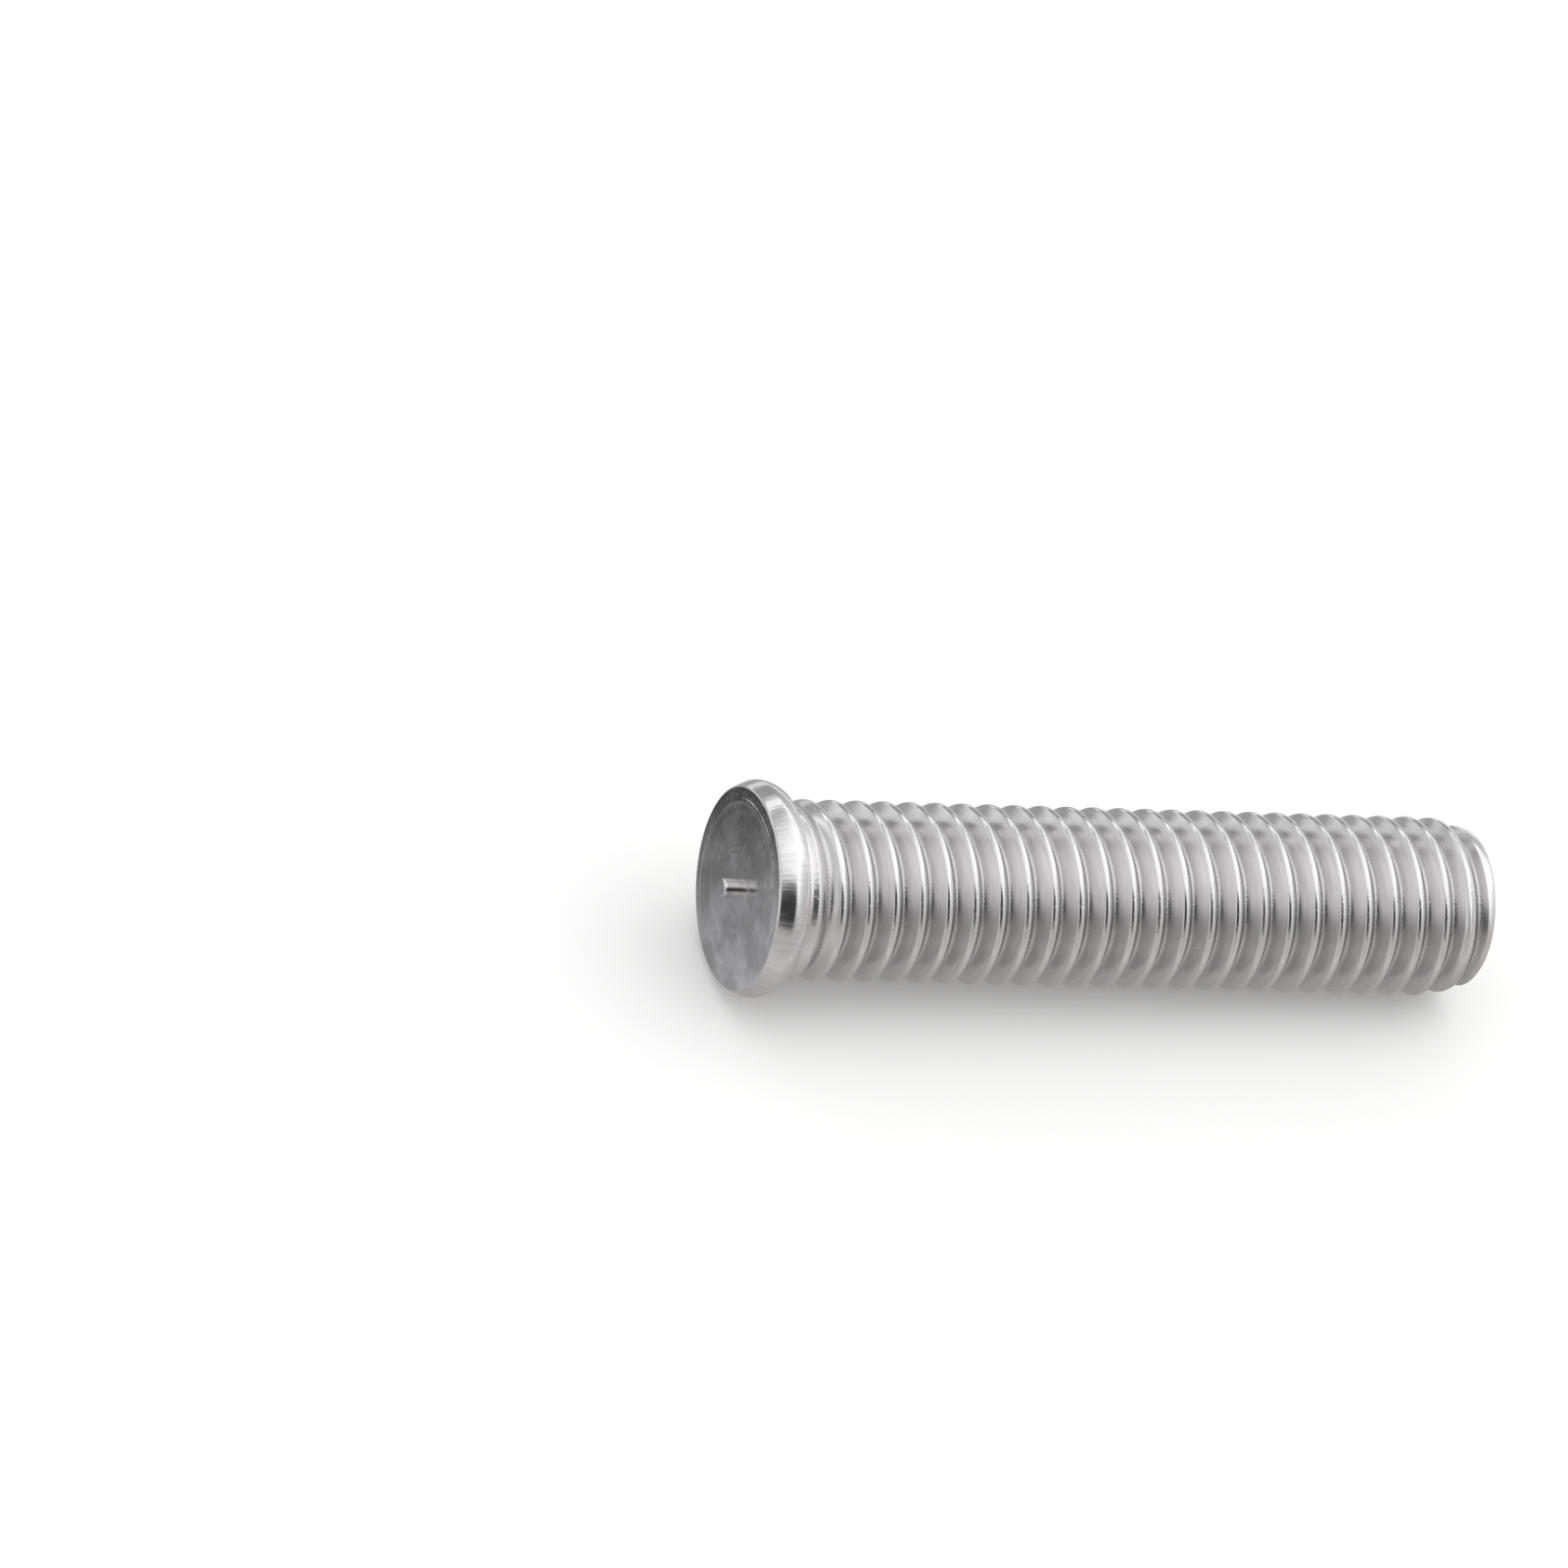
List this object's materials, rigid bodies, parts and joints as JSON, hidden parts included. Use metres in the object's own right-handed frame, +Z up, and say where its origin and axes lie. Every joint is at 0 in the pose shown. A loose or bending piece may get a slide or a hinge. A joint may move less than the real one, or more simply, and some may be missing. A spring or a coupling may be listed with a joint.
{
  "type": "weld stud",
  "caption": "Threaded stud with a round flange and a small ignition tip, made to be welded upright on sheet metal so that a nut can be fastened to it.",
  "frame": {"origin": "on the ground, below the middle of the stud's box", "axes": "+Z up. +X runs along the stud towards its thread end. The stud lies on its flange and on the last full turn of its thread, so its axis dips by about 1.4 degrees towards the thread end"},
  "size_m": [0.0354, 0.0094, 0.0094],
  "materials": {
    "stainless_steel": "bright rolled stainless steel, with a smooth greyer weld face"
  },
  "bodies": {
    "root": {"weld_stud": "stainless_steel"}
  },
  "joints": []
}
